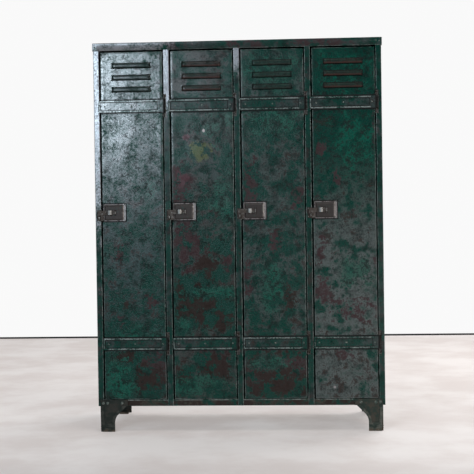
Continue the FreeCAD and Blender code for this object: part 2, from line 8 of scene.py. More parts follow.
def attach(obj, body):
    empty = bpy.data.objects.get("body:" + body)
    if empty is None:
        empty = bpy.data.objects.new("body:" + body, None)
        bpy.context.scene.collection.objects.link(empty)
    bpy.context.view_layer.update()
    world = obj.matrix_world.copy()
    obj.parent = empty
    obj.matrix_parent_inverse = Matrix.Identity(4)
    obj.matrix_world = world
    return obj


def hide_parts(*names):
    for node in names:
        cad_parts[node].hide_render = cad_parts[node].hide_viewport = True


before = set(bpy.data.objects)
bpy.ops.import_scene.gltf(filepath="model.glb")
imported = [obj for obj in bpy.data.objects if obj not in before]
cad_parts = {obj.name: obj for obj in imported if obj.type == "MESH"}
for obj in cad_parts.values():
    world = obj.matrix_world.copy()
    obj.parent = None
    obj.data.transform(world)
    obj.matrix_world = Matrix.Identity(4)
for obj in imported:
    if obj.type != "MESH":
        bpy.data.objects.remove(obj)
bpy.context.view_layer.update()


# Body sheets. Two sides, a back, three partitions, a floor and four hat shelves, all of folded steel sheet
# spot-welded at the edges and brushed with deep green enamel over red-brown primer.

GREEN = (0.0010, 0.0310, 0.0222)
FRESH_GREEN = (0.0010, 0.0600, 0.0400)
DEEP_GREEN = (0.0010, 0.0060, 0.0048)
CHALKED = (0.0260, 0.0400, 0.0390)
PALE_GREEN = (0.0560, 0.1200, 0.1080)
PRIMER = (0.0330, 0.0165, 0.0185)
BROWN = (0.0170, 0.0100, 0.0078)
# Pale steel grey for rubbed edges, which also serves as a painted highlight along them.
RUBBED_AND_HIGHLIGHT = (0.30, 0.345, 0.325)
# Near-black colour for painted shade in gaps, hollows and outlines.
SHADE_COLOUR = (0.0025, 0.0030, 0.0028)
BARE_STEEL = (0.22, 0.225, 0.24)
CLOUD_SIZE = 0.13
RAGGED_SIZE = 0.048
BLOT_SIZE = 0.038
PIT_SIZE = 0.0100
FLECK_SIZE = 0.0075


class Reading:
    """A value that changes over a surface. Arithmetic on it adds the nodes for it."""

    def __init__(self, finish, socket):
        self.finish = finish
        self.socket = socket

    def work(self, operation, first, second=0.0):
        return self.finish.node("Math", {"operation": operation}, {0: first, 1: second})

    def __add__(self, other):
        return self.work("ADD", self, other)

    def __sub__(self, other):
        return self.work("SUBTRACT", self, other)

    def __rsub__(self, other):
        return self.work("SUBTRACT", other, self)

    def __mul__(self, other):
        return self.work("MULTIPLY", self, other)

    def __truediv__(self, other):
        return self.work("DIVIDE", self, other)

    def __abs__(self):
        return self.work("ABSOLUTE", self)

    __radd__ = __add__
    __rmul__ = __mul__

    def most(self, other):
        return self.work("MAXIMUM", self, other)

    def least(self, other):
        return self.work("MINIMUM", self, other)

    def rise(self, low, high):
        return self.finish.node("MapRange", {"interpolation_type": "SMOOTHSTEP"},
                                {"Value": self, "From Min": low, "From Max": high})


class Finish:
    """One paint, steel or iron finish, laid over a piece by the piece's own coordinates."""

    def __init__(self, name):
        self.material = bpy.data.materials.new(name)
        self.material.use_nodes = True
        self.tree = self.material.node_tree
        self.tree.nodes.clear()
        self.place = self.node("TexCoord", {}, {}, "Object")
        self.x, self.y, self.z = (self.node("SeparateXYZ", {}, {0: self.place}, axis) for axis in "XYZ")

    def node(self, kind, settings, sockets, output=0):
        made = self.tree.nodes.new("ShaderNode" + kind)
        for key, value in settings.items():
            setattr(made, key, value)
        for key, value in sockets.items():
            if isinstance(value, Reading):
                self.tree.links.new(value.socket, made.inputs[key])
            elif made.inputs[key].type == "RGBA":
                made.inputs[key].default_value = (*value, 1.0)
            else:
                made.inputs[key].default_value = value
        return Reading(self, made.outputs[output]) if made.outputs else None

    def grain(self, size, detail=2.0, shift=0.0, stretch=(1.0, 1.0, 1.0), rough=0.55):
        spot = self.node("Mapping", {}, {"Vector": self.place, "Location": (shift, shift * 0.7, shift * 1.3),
                                         "Scale": [s / size for s in stretch]})
        return self.node("TexNoise", {}, {"Vector": spot, "Scale": 1.0, "Detail": detail, "Roughness": rough})

    def tint(self, under, over, cover):
        return self.node("Mix", {"data_type": "RGBA"}, {0: cover, 6: under, 7: over}, 2)

    def lay(self, colour, roughness, metal=0.0, gloss=0.0, height=None, relief=0.0004, coat=1.5):
        sockets = {"Base Color": colour, "Roughness": roughness, "Metallic": metal, "Specular IOR Level": 0.14,
                   "Coat Weight": gloss, "Coat Roughness": 0.24, "Coat IOR": coat}
        if height:
            sockets["Normal"] = self.node("Bump", {}, {"Distance": relief, "Height": height})
        shader = self.node("BsdfPrincipled", {}, sockets)
        self.node("OutputMaterial", {}, {"Surface": shader})
        return self.material


def patch_cover(finish, patches, centre, fringe):
    """How far inside the nearest worn patch a point lies, with a ragged fringe."""
    cover = fringe * 0.0 - 2.4
    for across, height, half_width, half_height in patches:
        sideways = (finish.x - (centre + across)) / half_width
        upright = (finish.z - height) / half_height
        cover = cover.most(1.0 - (sideways * sideways + upright * upright))
    return (cover * 0.8 + fringe).rise(0.0, 0.55)


def enamel(name, shift=0.0, chalk=0.45, edge=None, bare=0.0, primer=(), brown=(), green=(), centre=0.0,
           extra=None, gloss=0.4, painted_shade=None, haze=CHALKED, coat=1.5, relief=0.0005, dull_span=None,
           gloss_span=None):
    """Old green enamel: clouded, flecked, worn through in patches, rubbed bright at its edges with a painted
    highlight, and darkened with painted shade in its gaps and hollows.
    """
    paint = Finish(name)
    cloud = paint.grain(CLOUD_SIZE, 3.0, shift)
    ragged = paint.grain(RAGGED_SIZE, 6.0, shift + 3.1, rough=0.64)
    fleck = paint.grain(FLECK_SIZE, 2.0, shift + 7.7, rough=0.5)
    pit = paint.grain(PIT_SIZE, 4.0, shift + 11.3, rough=0.74)
    blot = paint.grain(BLOT_SIZE, 5.0, shift + 15.9, rough=0.62)
    fringe = (ragged - 0.5) * 11.0 + (fleck - 0.5) * 3.0
    kept = patch_cover(paint, green, centre, fringe)
    dulled = ((cloud - 0.5) * 3.0 + (ragged - 0.5) * 5.0 + (fleck - 0.5) * 0.8 + chalk).rise(0.05, 0.95)
    dulled = dulled * (1.0 - 0.75 * kept)
    if dull_span:
        dulled = dulled * paint.z.rise(*dull_span)
    colour = paint.tint(paint.tint(GREEN, FRESH_GREEN, kept), haze, dulled)
    shaded = (blot + (cloud - 0.5) * 0.3).rise(0.50, 0.62) * (1.0 - 0.5 * dulled)
    colour = paint.tint(colour, DEEP_GREEN, shaded * 0.55)
    pale = (fleck * 0.6 + pit * 0.5 - blot * 0.1).rise(0.56, 0.68)
    colour = paint.tint(colour, PALE_GREEN, pale * 0.28)
    speck = (fleck + (cloud - 0.5) * 0.3).rise(0.52, 0.62)
    colour = paint.tint(colour, DEEP_GREEN, speck * (0.75 - 0.35 * dulled))
    dark = (pit + (ragged - 0.5) * 0.6 + (blot - 0.5) * 0.6).rise(0.575, 0.640)
    colour = paint.tint(colour, DEEP_GREEN, dark * (0.92 - 0.25 * dulled))
    freckle = (0.5 - pit + ragged * 1.3 - paint.z * 0.040).rise(0.730, 0.790) * (1.0 - kept)
    colour = paint.tint(colour, BROWN, freckle * 0.85)
    broken = (fleck * 0.5 + pit * 0.6).rise(0.46, 0.58) * 0.55 + 0.45
    rust = patch_cover(paint, primer, centre, fringe) * (1.0 - kept) * broken
    colour = paint.tint(colour, PRIMER, rust * 0.95)
    dirt = patch_cover(paint, brown, centre, fringe) * (1.0 - kept)
    colour = paint.tint(colour, BROWN, dirt * 0.9)
    stain_and_shade = rust.most(dirt)
    if extra:
        colour, matt = extra(paint, colour, fringe)
        stain_and_shade = stain_and_shade.most(matt)
    rubbed_and_lit = 0.0
    # Rubbed edges: worn steel that also serves as a painted highlight along the rounded arrises and crests.
    if edge:
        rubbed_and_lit = edge(paint) * (ragged * 0.5 + fleck * 0.5).rise(0.42, 0.58)
        colour = paint.tint(colour, RUBBED_AND_HIGHLIGHT, rubbed_and_lit * 0.6)
    # Painted shade: near-black colour laid where the piece's mask marks gaps, hollows and outlines.
    if painted_shade:
        shade_cover = painted_shade(paint)
        colour = paint.tint(colour, SHADE_COLOUR, shade_cover * 0.95)
        stain_and_shade = stain_and_shade.most(shade_cover)
    steel = 0.0
    if bare:
        steel = (bare(paint) + (ragged - 0.5) * 2.0 + (fleck - 0.5) * 1.2).rise(0.0, 0.9)
        colour = paint.tint(colour, BARE_STEEL, steel)
    roughness = 0.30 + 0.30 * (fleck - 0.5) + 0.18 * dark + 0.22 * stain_and_shade + 0.08 * dulled - 0.02 * steel
    shine = gloss * (1.0 - 0.6 * dark) * (1.0 - 0.7 * stain_and_shade) * (ragged * 0.8 + fleck * 0.5).rise(0.45, 0.85)
    if gloss_span:
        shine = shine * (paint.z.rise(*gloss_span) * 0.9 + 0.1)
    height = ragged * 0.4 + pit * 0.5 + fleck * 1.0 - dark * 0.2 - 0.4 * stain_and_shade + cloud * 1.0
    return paint.lay(colour, roughness, 0.4 * steel + 0.3 * rubbed_and_lit, shine, height, relief, coat)


def give(node, material):
    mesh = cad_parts[node].data
    mesh.materials.clear()
    mesh.materials.append(material)


sheet_paint = enamel("green enamel on the body sheets", 1.0, 0.4)
for node in ("side_panel_left", "side_panel_right", "back_panel", "bottom_panel", "partition_1", "partition_2",
             "partition_3", "shelves"):
    give(node, sheet_paint)


# Posts and stiles. Upright channels of folded sheet between the doors and at both ends, with rounded arrises
# that hands and bags have rubbed back to steel and that carry a painted highlight; the end nearest the window
# is worn the most, and painted shade lies on the turned sides in the gaps.

FACE_Y = -0.23975
BAY_PITCH = 0.325


def across_post(finish):
    """Distance from the middle of the nearest post or stile."""
    turned = finish.node("Math", {"operation": "FLOORED_MODULO"}, {0: finish.x + BAY_PITCH / 2, 1: BAY_PITCH})
    return abs(turned - BAY_PITCH / 2)


def post_edge(paint):
    """The rounded arrises of the channel."""
    return across_post(paint).rise(0.0095, 0.0130)


def gap_shade(paint):
    """Painted shade on the turned sides of posts and doors, down in the gaps between them."""
    return paint.y.rise(FACE_Y + 0.0008, FACE_Y + 0.0026)


def worn_above(low, high, most, least=-1.2):
    """A cover of bare steel that grows from one height to another."""
    def cover(paint):
        return paint.z.rise(low, high) * (most - least) + least
    return cover


post_wear = {"stile_left": worn_above(0.10, 1.45, 0.80, -0.75), "post_1": worn_above(1.30, 1.66, 1.9),
             "post_2": worn_above(1.52, 1.75, 1.1), "post_3": None, "stile_right": None}
for place, (node, bare) in enumerate(post_wear.items()):
    give(node, enamel("green enamel on " + node, 17.0 + 5.0 * place, 0.15, post_edge, bare, gloss=0.35,
                      painted_shade=gap_shade))


# Top. A lid of one sheet with its front and sides turned down, and a small riveted tab over each front
# corner.

LIP_MIDDLE = 1.782


def lid_edge(paint):
    """The fold at the top and the cut edge of the lip."""
    return abs(paint.z - LIP_MIDDLE).rise(0.0150, 0.0178)


lid_paint = enamel("green enamel on the lid", 41.0, 0.75, lid_edge,
                   lambda paint: paint.x.rise(0.15, -0.55) * 1.5 - 0.9,
                   [(-0.28, LIP_MIDDLE, 0.05, 0.03), (0.05, 1.790, 0.10, 0.02), (0.36, 1.785, 0.16, 0.02)])


def keep_piece(name, mesh, material, body, nodes, smooth_angle=35.0):
    """Makes a finished piece from its mesh and hangs it on the body that it belongs to."""
    mesh.materials.clear()
    mesh.materials.append(material)
    mesh.polygons.foreach_set("use_smooth", [True] * len(mesh.polygons))
    mesh.set_sharp_from_angle(angle=math.radians(smooth_angle))
    piece = bpy.data.objects.new(name, mesh)
    bpy.context.scene.collection.objects.link(piece)
    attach(piece, body)
    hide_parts(*nodes)
    return piece


def fold_edge(shell, rim, outwards, down, radius, depth, closed, steps=5):
    """Turns the rim of a flat sheet over a rounded bend and down into a flange."""
    rows = [rim]
    for step in range(1, steps + 1):
        turn = math.pi / 2 * step / steps
        out_by = radius * math.sin(turn)
        down_by = radius * (1 - math.cos(turn))
        rows.append([shell.verts.new(start.co + out * out_by + down * down_by)
                     for start, out in zip(rim, outwards)])
    rows.append([shell.verts.new(corner.co + down * (depth - radius)) for corner in rows[-1]])
    count = len(rim)
    for upper, lower in zip(rows, rows[1:]):
        for place in range(count if closed else count - 1):
            after = (place + 1) % count
            shell.faces.new((upper[place], upper[after], lower[after], lower[place]))


LID_HALF_WIDTH = 0.666
LID_FRONT = FACE_Y - 0.003
LID_BACK = FACE_Y + 0.4998
LID_TOP = 1.8
LID_BEND = 0.0030
LID_LIP = 0.036
LID_SHEET = 0.0012
ACROSS_STEPS = 40
ALONG_STEPS = 16
lid = bmesh.new()
across = [-LID_HALF_WIDTH + LID_BEND + (2 * (LID_HALF_WIDTH - LID_BEND)) * step / ACROSS_STEPS
          for step in range(ACROSS_STEPS + 1)]
along = [LID_FRONT + LID_BEND + (LID_BACK - LID_FRONT - LID_BEND) * step / ALONG_STEPS
         for step in range(ALONG_STEPS + 1)]


def lid_sag(x, y):
    """The top sheet dishes a little between its folds."""
    inside = (1 - (x / LID_HALF_WIDTH) ** 2) * max(0.0, 1 - ((y - 0.01) / 0.25) ** 2)
    return 0.0008 * inside * (1.0 + 0.5 * math.sin(9.0 * x + 1.0) * math.cos(11.0 * y))


lid_grid = [[lid.verts.new((x, y, LID_TOP - lid_sag(x, y) * 0.9)) for x in across] for y in along]
for near, far in zip(lid_grid, lid_grid[1:]):
    for place in range(len(across) - 1):
        lid.faces.new((near[place], near[place + 1], far[place + 1], far[place]))
left_rim = [row[0] for row in reversed(lid_grid)]
front_rim = lid_grid[0][1:-1]
right_rim = [row[-1] for row in lid_grid]
outwards = ([Vector((-1, 0, 0))] * (len(left_rim) - 1) + [Vector((-1, -1, 0))]
            + [Vector((0, -1, 0))] * len(front_rim)
            + [Vector((1, -1, 0))] + [Vector((1, 0, 0))] * (len(right_rim) - 1))
fold_edge(lid, left_rim + front_rim + right_rim, outwards, Vector((0, 0, -1)), LID_BEND, LID_LIP, False)
bmesh.ops.recalc_face_normals(lid, faces=lid.faces)
if lid.faces[0].normal.z < 0:
    bmesh.ops.reverse_faces(lid, faces=lid.faces)
lid_mesh = bpy.data.meshes.new("lid")
lid.to_mesh(lid_mesh)
lid.free()
lid_piece = keep_piece("lid", lid_mesh, lid_paint, "carcass", ["top_panel", "top_rim"])
thickness = lid_piece.modifiers.new("sheet", "SOLIDIFY")
thickness.thickness = LID_SHEET
thickness.offset = -1.0
give("corner_tabs", lid_paint)


# Sill. Four lengths of folded steel rail under the doors, welded between the posts and painted with the body;
# boots have scuffed them brown along the lower edge, and the top edge carries a painted highlight.

# Painted highlight with rubbed wear along the top edge of the rail.
def sill_lit_edge(paint):
    return paint.z.rise(0.1415, 0.1455)


give("sill_rails", enamel("green enamel on the sill", 53.0, 0.90, sill_lit_edge, None, gloss=0.3,
                          haze=(0.040, 0.032, 0.024),
                          brown=[(-0.42, 0.126, 0.20, 0.020), (-0.05, 0.122, 0.22, 0.018),
                                 (0.40, 0.126, 0.24, 0.022)]))


# Feet. Cast-iron brackets under the corners, lapped over the sill and bolted, painted green-black and scuffed
# brown at the base; the raised front crest carries a painted highlight.

foot_iron = Finish("painted cast iron")
casting = foot_iron.grain(0.0035, 3.0)
scuff = foot_iron.grain(0.022, 4.0, 5.0)
iron_colour = foot_iron.tint((0.014, 0.024, 0.019), (0.032, 0.028, 0.020), scuff.rise(0.42, 0.62))
# Painted highlight on the raised front crest of the casting, broken by the scuff noise.
iron_colour = foot_iron.tint(iron_colour, (0.10, 0.105, 0.09),
                             foot_iron.y.rise(FACE_Y - 0.0070, FACE_Y - 0.0088) * scuff.rise(0.35, 0.6) * 0.5)
# The iron is made darker towards the left end of the locker.
iron_colour = foot_iron.tint((0.010, 0.011, 0.009), iron_colour, foot_iron.x.rise(-1.1, 0.2))
iron_colour = foot_iron.tint(iron_colour, (0.055, 0.038, 0.022),
                             foot_iron.z.rise(0.020, 0.0) * scuff.rise(0.4, 0.6))
iron = foot_iron.lay(iron_colour, 0.42 + 0.25 * casting, 0.0, 0.25 * scuff.rise(0.4, 0.6),
                     casting * 0.6 + scuff * 0.5, 0.0007)
for node in ("front_foot_left", "front_foot_right", "rear_foot_left", "rear_foot_right"):
    give(node, iron)


# Coat rails. A plain steel tube across every bay under the shelf, resting in two pressed cups that are
# welded to the partitions; never painted, dulled by hangers.

tube_steel = Finish("dulled steel tube")
scratch = tube_steel.grain(0.004, 3.0, 0.0, (0.15, 1.0, 1.0))
tarnish = tube_steel.grain(0.03, 3.0, 2.0)
tube = tube_steel.lay(tube_steel.tint((0.36, 0.35, 0.33), (0.17, 0.13, 0.10), tarnish.rise(0.45, 0.7)),
                      0.3 + 0.3 * tarnish + 0.1 * scratch, 1.0, 0.0, scratch, 0.0001)
for node in ("coat_rails", "rail_cups"):
    give(node, tube)


# Hinges on the posts. A turned steel pin stands in a slot beside each strap, held by a bracket of thick
# strip welded inside the post; both are dark with oil.

oiled_steel = Finish("dark oiled steel")
oil = oiled_steel.grain(0.008, 3.0)
hinge = oiled_steel.lay(oiled_steel.tint((0.10, 0.095, 0.09), (0.045, 0.033, 0.026), oil.rise(0.45, 0.6)),
                        0.35 + 0.3 * oil, 0.9, 0.0, oil, 0.0002)
for node in ("hinge_pins", "hinge_brackets"):
    give(node, hinge)


# Keepers. A small steel plate riveted to the post beside every latch carries the staple that a padlock
# goes through; it is bare and brown, and a little brighter where the hasp rubs it.

def handled_steel(name, bright, dull, crest):
    """Bare pressed steel: bright where fingers reach it, brown elsewhere."""
    steel = Finish(name)
    stain = steel.grain(0.009, 4.0, 3.0)
    hair = steel.grain(0.003, 2.0, 1.0, (1.0, 1.0, 0.2))
    worn = (steel.y.rise(*crest) * 0.7 + (stain - 0.5) * 1.4 + 0.15).rise(0.1, 0.75)
    return steel.lay(steel.tint(dull, bright, worn), 0.52 - 0.16 * worn + 0.15 * hair, 0.35 + 0.6 * worn, 0.0,
                     stain * 0.6 + hair * 0.4, 0.00025)


keeper_steel = handled_steel("keeper steel", (0.13, 0.12, 0.11), (0.030, 0.024, 0.021),
                             (FACE_Y - 0.002, FACE_Y - 0.02))
hasp_steel = handled_steel("hasp steel", (0.20, 0.195, 0.185), (0.050, 0.040, 0.034),
                           (FACE_Y - 0.009, FACE_Y - 0.018))
for number in range(1, 5):
    give("keeper_%d" % number, keeper_steel)
    give("hasp_%d" % number, hasp_steel)


# Doors. Each leaf is a tray of steel sheet with turned edges and three pressed louvres near the top; years
# of use have taken each one's enamel differently.

LOUVRE_TOPS = (1.706, 1.651, 1.596)
LOUVRE_PITCH = 0.055
LOUVRE_FOOT_LINE = 1.5725
LOUVRE_ROW_START = 1.5570
LOUVRES_MIDDLE = 1.6395
LOUVRE_HALF_WIDTH = 0.0895
LOUVRE_HEIGHT = 0.023
LOUVRE_RISE = 0.0065
LOUVRE_END = 0.012
LOUVRE_SHOULDER = 0.008
DOOR_LEFT = -0.142
DOOR_RIGHT = 0.144
DOOR_FOOT = 0.150
DOOR_HEAD = 1.757
LEAF_Y = FACE_Y - 0.0005
LEAF_BEND = 0.0025
LEAF_FLANGE = 0.017
LEAF_SHEET = 0.0012
STRAP_HALF_HEIGHT = 0.0285
STRAP_SPANS = {"upper": (1.506, -0.153, 0.147), "lower": (0.406, -0.149, 0.147)}
LATCH_HEIGHT = 1.016
PLATE_MIDDLE = -0.086
PLATE_HALF_WIDTH = 0.0520
PLATE_HALF_HEIGHT = 0.0395
bays = [(-1.5 + bay) * BAY_PITCH for bay in range(4)]


def door_edge(centre):
    """The rounded turn of the tray all round the leaf."""
    def edge(paint):
        across = abs(paint.x - (centre + (DOOR_LEFT + DOOR_RIGHT) / 2)).rise(0.1395, 0.1425)
        upright = abs(paint.z - (DOOR_FOOT + DOOR_HEAD) / 2).rise(0.8000, 0.8030)
        return across.most(upright)
    return edge


LOUVRE_RUST = (0.042, 0.0140, 0.0105)


def louvre_shade_and_rust(strength, spots=()):
    """Painted shade on the louvre hoods, red-brown rust on their lips, and single marks of other colours on the
    leaf.
    """
    def extra(paint, colour, fringe):
        hood = paint.y.rise(FACE_Y - 0.0008, FACE_Y - 0.0020) * (paint.z - 1.5).rise(0.05, 0.06)
        # Painted shade: the pressed-out hoods are darkened towards deep green.
        colour = paint.tint(colour, DEEP_GREEN, hood * 0.6)
        above_foot = paint.node("Math", {"operation": "FLOORED_MODULO"},
                                {0: paint.z - LOUVRE_FOOT_LINE, 1: LOUVRE_PITCH})
        lip = (above_foot.rise(0.013, 0.004) * 0.9 + fringe * 0.12).most(0.0) + 0.2
        colour = paint.tint(colour, LOUVRE_RUST, (hood * strength * lip).least(1.0))
        for mark, across, height, half_width, half_height, cover in spots:
            inside = patch_cover(paint, [(across, height, half_width, half_height)], 0.0, fringe * 0.6)
            colour = paint.tint(colour, mark, inside * cover)
        return colour, hood * 0.9
    return extra


def edge_gap(finish, across, height, half_width, half_height):
    """Distance outside the edge of an upright rectangle, negative inside it."""
    return (abs(finish.x - across) - half_width).most(abs(finish.z - height) - half_height)


def strap_gap(paint, centre, height, left, right):
    return edge_gap(paint, centre + (left + right) / 2, height, (right - left) / 2, STRAP_HALF_HEIGHT)


def plate_gap(paint, centre):
    return edge_gap(paint, centre + PLATE_MIDDLE, LATCH_HEIGHT, PLATE_HALF_WIDTH, PLATE_HALF_HEIGHT)


def line_outside(gap, width):
    """A soft line that follows the outside of an edge."""
    return gap.rise(width, width * 0.4) * gap.rise(-0.0012, 0.0)


def door_shade(centre):
    """Painted shade along the straps, round the latch plate and the louvres, and on the turned sides of the
    leaf.
    """
    def painted_shade(paint):
        upper, lower = (line_outside(strap_gap(paint, centre, *span), width)
                        for span, width in zip(STRAP_SPANS.values(), (0.0080, 0.0070)))
        plate = line_outside(plate_gap(paint, centre), 0.0070)
        row = paint.node("Math", {"operation": "FLOORED_MODULO"},
                         {0: paint.z - LOUVRE_ROW_START, 1: LOUVRE_PITCH})
        fold = row - LOUVRE_PITCH / 2
        louvre = (abs(paint.x - centre) - 0.0880).most(abs(fold) - 0.0110)
        louvres = line_outside(louvre, 0.0040) * abs(paint.z - LOUVRES_MIDDLE).rise(0.0830, 0.0800)
        return upper.most(lower).most(plate).most(louvres).most(gap_shade(paint))
    return painted_shade


YELLOW_GREEN = (0.075, 0.095, 0.022)
WHITE_KNOCK = (0.34, 0.30, 0.30)
PINK = (0.085, 0.035, 0.045)
# Each worn patch is given as: across from the door's middle, height, half width, half height.
door_wear = {
    1: dict(
        chalk=0.40, gloss=1.0, coat=1.75, relief=0.0026, haze=(0.030, 0.054, 0.054),
        dull_span=(-0.10, 0.90), gloss_span=(0.20, 1.45),
        primer=[(-0.060, 0.826, 0.018, 0.030), (0.080, 0.610, 0.030, 0.030),
                (-0.060, 0.505, 0.030, 0.030), (0.090, 0.290, 0.060, 0.080)],
        brown=[(-0.040, 0.580, 0.016, 0.020), (0.060, 0.240, 0.060, 0.060), (-0.040, 0.345, 0.045, 0.025)],
        green=[(0.077, 1.140, 0.030, 0.050), (0.000, 0.450, 0.120, 0.045), (-0.080, 0.230, 0.070, 0.080)],
        extra=louvre_shade_and_rust(0.0)),
    2: dict(
        chalk=0.40, gloss=0.8, coat=1.65, relief=0.0024, haze=(0.040, 0.042, 0.040),
        gloss_span=(0.70, 1.50),
        primer=[(-0.100, 1.150, 0.045, 0.080), (-0.090, 0.900, 0.040, 0.060),
                (-0.060, 0.820, 0.080, 0.080), (0.115, 0.780, 0.020, 0.050),
                (0.060, 0.330, 0.080, 0.050), (0.060, 1.000, 0.030, 0.040)],
        brown=[(0.000, 0.555, 0.135, 0.075), (0.060, 0.300, 0.080, 0.060), (0.010, 0.740, 0.050, 0.070),
               (-0.090, 0.250, 0.035, 0.050), (-0.110, 0.650, 0.025, 0.060)],
        green=[(0.030, 0.640, 0.120, 0.022), (-0.080, 0.490, 0.040, 0.040), (0.090, 1.080, 0.050, 0.120),
               (-0.020, 0.210, 0.110, 0.045), (0.080, 1.400, 0.060, 0.070)],
        extra=louvre_shade_and_rust(0.6, [(YELLOW_GREEN, -0.1725, 1.290, 0.045, 0.045, 0.6),
                                (PINK, -0.2395, 1.357, 0.018, 0.016, 0.7),
                                (PINK, -0.2600, 1.170, 0.030, 0.040, 0.5),
                                (CHALKED, -0.1325, 1.205, 0.055, 0.045, 0.8),
                                (WHITE_KNOCK, -0.1555, 1.388, 0.005, 0.006, 1.0)])),
    3: dict(
        chalk=0.42, gloss=0.40, relief=0.0016, haze=(0.040, 0.056, 0.053),
        primer=[(-0.110, 1.120, 0.035, 0.110), (0.110, 1.080, 0.025, 0.060),
                (0.000, 0.860, 0.025, 0.045), (-0.120, 0.700, 0.020, 0.070),
                (0.090, 0.320, 0.070, 0.100), (-0.060, 0.240, 0.110, 0.060)],
        brown=[(0.060, 0.600, 0.028, 0.085), (0.010, 0.225, 0.140, 0.080), (0.060, 0.362, 0.100, 0.030),
               (-0.110, 0.350, 0.030, 0.040)],
        green=[(-0.010, 0.660, 0.055, 0.110), (-0.030, 0.315, 0.075, 0.034), (0.010, 1.420, 0.110, 0.060),
               (0.000, 1.650, 0.110, 0.080)],
        extra=louvre_shade_and_rust(0.15)),
    4: dict(
        chalk=0.85, gloss=0.30, relief=0.0009, haze=(0.066, 0.078, 0.075),
        dull_span=(1.35, 0.80), gloss_span=(1.2, 0.5),
        primer=[(-0.100, 1.300, 0.018, 0.035), (0.136, 1.360, 0.012, 0.090),
                (-0.040, 1.160, 0.020, 0.040), (-0.110, 0.845, 0.022, 0.035),
                (0.135, 0.770, 0.016, 0.045), (-0.100, 0.670, 0.028, 0.090),
                (0.000, 0.355, 0.030, 0.020), (0.030, 0.560, 0.090, 0.050)],
        brown=[(-0.085, 0.470, 0.010, 0.020)],
        green=[(0.000, 1.650, 0.120, 0.100), (0.060, 1.330, 0.090, 0.130), (0.040, 0.720, 0.080, 0.080)],
        extra=louvre_shade_and_rust(0.7, [(WHITE_KNOCK, 0.4325, 0.200, 0.006, 0.006, 0.5)])),
}


def steps_between(first, last, count):
    return [first + (last - first) * step / count for step in range(count + 1)]


def louvre_swell(across, height):
    """How far the sheet is pressed out at a point: a hood with rounded ends, open along its foot."""
    for top in LOUVRE_TOPS:
        if top - LOUVRE_HEIGHT - 1e-6 <= height < top:
            into_end = max(0.0, (abs(across) - (LOUVRE_HALF_WIDTH - LOUVRE_END)) / LOUVRE_END)
            if into_end >= 1.0:
                return 0.0
            shoulder = min(1.0, (top - height) / LOUVRE_SHOULDER)
            return LOUVRE_RISE * math.sqrt(1 - into_end ** 2) * math.sin(math.pi / 2 * shoulder)
    return 0.0


def leaf_wave(across, height, number):
    """Sheet this thin is never flat: it dishes inwards by part of a millimetre."""
    ripple = (math.sin(31.0 * across + 1.7 * number) * math.sin(6.3 * height + 2.1 * number)
              + 0.6 * math.sin(17.0 * height + 0.9 * number + 12.0 * across))
    rim = (min(1.0, (0.14 - abs(across)) / 0.03)
           * min(1.0, (height - DOOR_FOOT) / 0.04, (DOOR_HEAD - height) / 0.04))
    return 0.00035 * max(0.0, rim) * (1.0 + ripple / 1.6)


end_steps = [LOUVRE_HALF_WIDTH - LOUVRE_END * (1 - math.sin(math.pi / 2 * step / 6)) for step in range(7)]
columns = sorted(set([round(x, 6) for x in
                      steps_between(DOOR_LEFT + LEAF_BEND, -0.0960, 4) + [-x for x in end_steps]
                      + steps_between(-0.0700, 0.0700, 14) + end_steps
                      + steps_between(0.0960, DOOR_RIGHT - LEAF_BEND, 4)]))
slits = [round(top - LOUVRE_HEIGHT, 6) for top in LOUVRE_TOPS]
rows = steps_between(DOOR_FOOT + LEAF_BEND, 1.560, 40) + steps_between(1.7120, DOOR_HEAD - LEAF_BEND, 3)
for top in LOUVRE_TOPS:
    rows += [top, top + 0.004, top - LOUVRE_HEIGHT - 0.003, top - LOUVRE_HEIGHT, top - 0.0165, top - 0.0125]
    rows += [top - LOUVRE_SHOULDER * step / 5 for step in range(1, 6)]
rows = sorted(set(round(z, 6) for z in rows))


def door_leaf(number, centre):
    """The tray of one door: a sheet slit and pressed at the louvres, with its rim turned back all round."""
    leaf = bmesh.new()
    grid = []
    raised = {}
    for z in rows:
        line = []
        for place, x in enumerate(columns):
            inward = leaf_wave(x, z, number)
            swell = louvre_swell(x, z)
            on_slit = z in slits and swell > 0.0
            line.append(leaf.verts.new((centre + x, LEAF_Y + inward - (0.0 if on_slit else swell), z)))
            if on_slit:
                raised[(z, place)] = leaf.verts.new((centre + x, LEAF_Y + inward - swell, z))
        grid.append(line)
    for z, low, high in zip(rows, grid, grid[1:]):
        for place in range(len(columns) - 1):
            foot = [raised.get((z, place), low[place]), raised.get((z, place + 1), low[place + 1])]
            leaf.faces.new((foot[0], foot[1], high[place + 1], high[place]))
    left = [line[0] for line in reversed(grid)]
    right = [line[-1] for line in grid]
    rim = left + grid[0][1:-1] + right + list(reversed(grid[-1][1:-1]))
    sides = ([Vector((-1, 0, 1))] + [Vector((-1, 0, 0))] * (len(left) - 2) + [Vector((-1, 0, -1))]
             + [Vector((0, 0, -1))] * (len(columns) - 2)
             + [Vector((1, 0, -1))] + [Vector((1, 0, 0))] * (len(right) - 2) + [Vector((1, 0, 1))]
             + [Vector((0, 0, 1))] * (len(columns) - 2))
    fold_edge(leaf, rim, sides, Vector((0, 1, 0)), LEAF_BEND, LEAF_FLANGE, True)
    bmesh.ops.recalc_face_normals(leaf, faces=leaf.faces)
    leaf.faces.ensure_lookup_table()
    if leaf.faces[0].normal.y > 0:
        bmesh.ops.reverse_faces(leaf, faces=leaf.faces)
    mesh = bpy.data.meshes.new("door leaf %d" % number)
    leaf.to_mesh(mesh)
    leaf.free()
    return mesh


